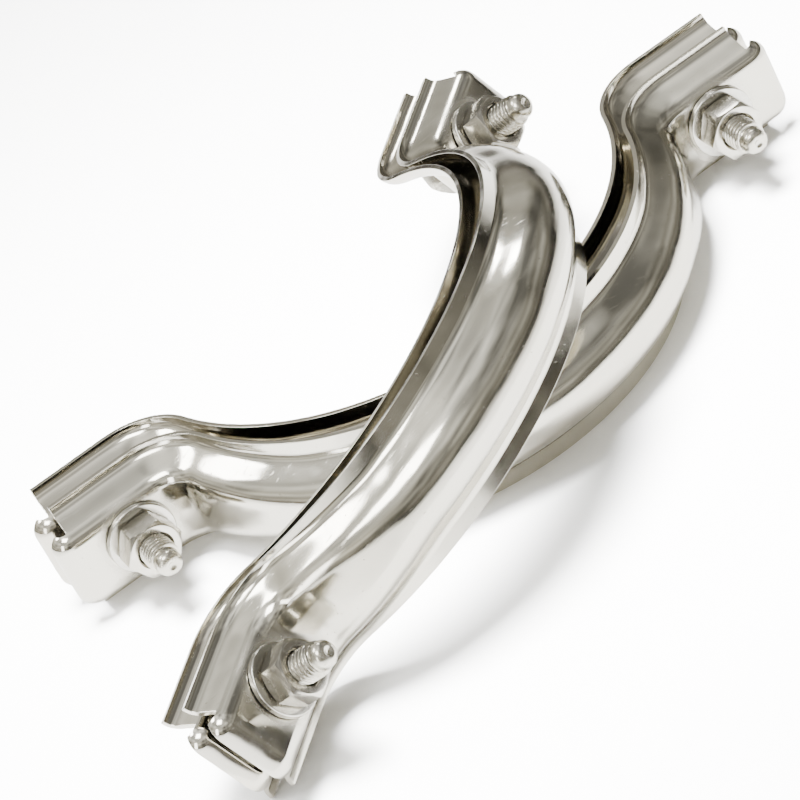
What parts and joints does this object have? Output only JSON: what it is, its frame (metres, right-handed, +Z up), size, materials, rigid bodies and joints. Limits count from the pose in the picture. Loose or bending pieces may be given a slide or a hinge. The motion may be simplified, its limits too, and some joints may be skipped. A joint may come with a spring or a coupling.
{
  "type": "exhaust pipe clamp pair",
  "caption": "Pair of bolted half-ring exhaust clamps: pressed mirror-finish half rings nested on bolts with washers and hex nuts, one leaning over the other.",
  "frame": {"origin": "middle of the pair's bounding box, on the ground that the lower clamp's rim lies on", "axes": "+Z up along the lower clamp's ring axis, +X along the line through the lower clamp's bolts, -Y the way its bolts and its arc point"},
  "size_m": [0.221, 0.155, 0.0654],
  "materials": {
    "pressed_band": "mirror polished",
    "bolt_steel": "satin zinc",
    "washer_steel": "satin zinc",
    "nut_steel": "satin zinc"
  },
  "bodies": {
    "lower_inner": {"lower_inner_half": "pressed_band", "lower_left_bolt": "bolt_steel", "lower_right_bolt": "bolt_steel"},
    "lower_outer": {"lower_outer_half": "pressed_band", "lower_left_washer": "washer_steel", "lower_right_washer": "washer_steel"},
    "lower_left_nut": {"lower_left_nut": "nut_steel"},
    "lower_right_nut": {"lower_right_nut": "nut_steel"},
    "upper_inner": {"upper_inner_half": "pressed_band", "upper_left_bolt": "bolt_steel", "upper_right_bolt": "bolt_steel"},
    "upper_outer": {"upper_outer_half": "pressed_band", "upper_left_washer": "washer_steel", "upper_right_washer": "washer_steel"},
    "upper_left_nut": {"upper_left_nut": "nut_steel"},
    "upper_right_nut": {"upper_right_nut": "nut_steel"}
  },
  "joints": [
    {"name": "lower_left_nut_turn", "type": "hinge", "parent": "lower_outer", "child": "lower_left_nut", "pos_m": [-0.08087, 0.0227, 0.0153], "axis": [0, -1, 0], "range_deg": [0, 2881]},
    {"name": "lower_right_nut_turn", "type": "hinge", "parent": "lower_outer", "child": "lower_right_nut", "pos_m": [0.09113, 0.0227, 0.0153], "axis": [0, -1, 0], "range_deg": [0, 2881]},
    {"name": "lower_outer_slide", "type": "slide", "parent": "lower_inner", "child": "lower_outer", "axis": [0, -1, 0], "range_m": [0, 0.01]},
    {"name": "upper_left_nut_turn", "type": "hinge", "parent": "upper_outer", "child": "upper_left_nut", "pos_m": [-0.083, -0.06506, 0.0236], "axis": [0.5727, -0.6826, 0.454], "range_deg": [0, 2881]},
    {"name": "upper_right_nut_turn", "type": "hinge", "parent": "upper_outer", "child": "upper_right_nut", "pos_m": [0.04462, 0.04967, 0.03509], "axis": [0.5727, -0.6826, 0.454], "range_deg": [0, 2881]},
    {"name": "upper_outer_slide", "type": "slide", "parent": "upper_inner", "child": "upper_outer", "axis": [0.5727, -0.6826, 0.454], "range_m": [0, 0.01]},
    {"name": "upper_lift", "type": "slide", "parent": "lower_inner", "child": "upper_inner", "axis": [0, 0, 1], "range_m": [0, 0.12]}
  ],
  "couplings": [
    {"joint": "lower_left_nut_turn", "follows": "lower_outer_slide", "rad_per_m": 5026.5},
    {"joint": "lower_right_nut_turn", "follows": "lower_outer_slide", "rad_per_m": 5026.5},
    {"joint": "upper_left_nut_turn", "follows": "upper_outer_slide", "rad_per_m": 5026.5},
    {"joint": "upper_right_nut_turn", "follows": "upper_outer_slide", "rad_per_m": 5026.5}
  ]
}
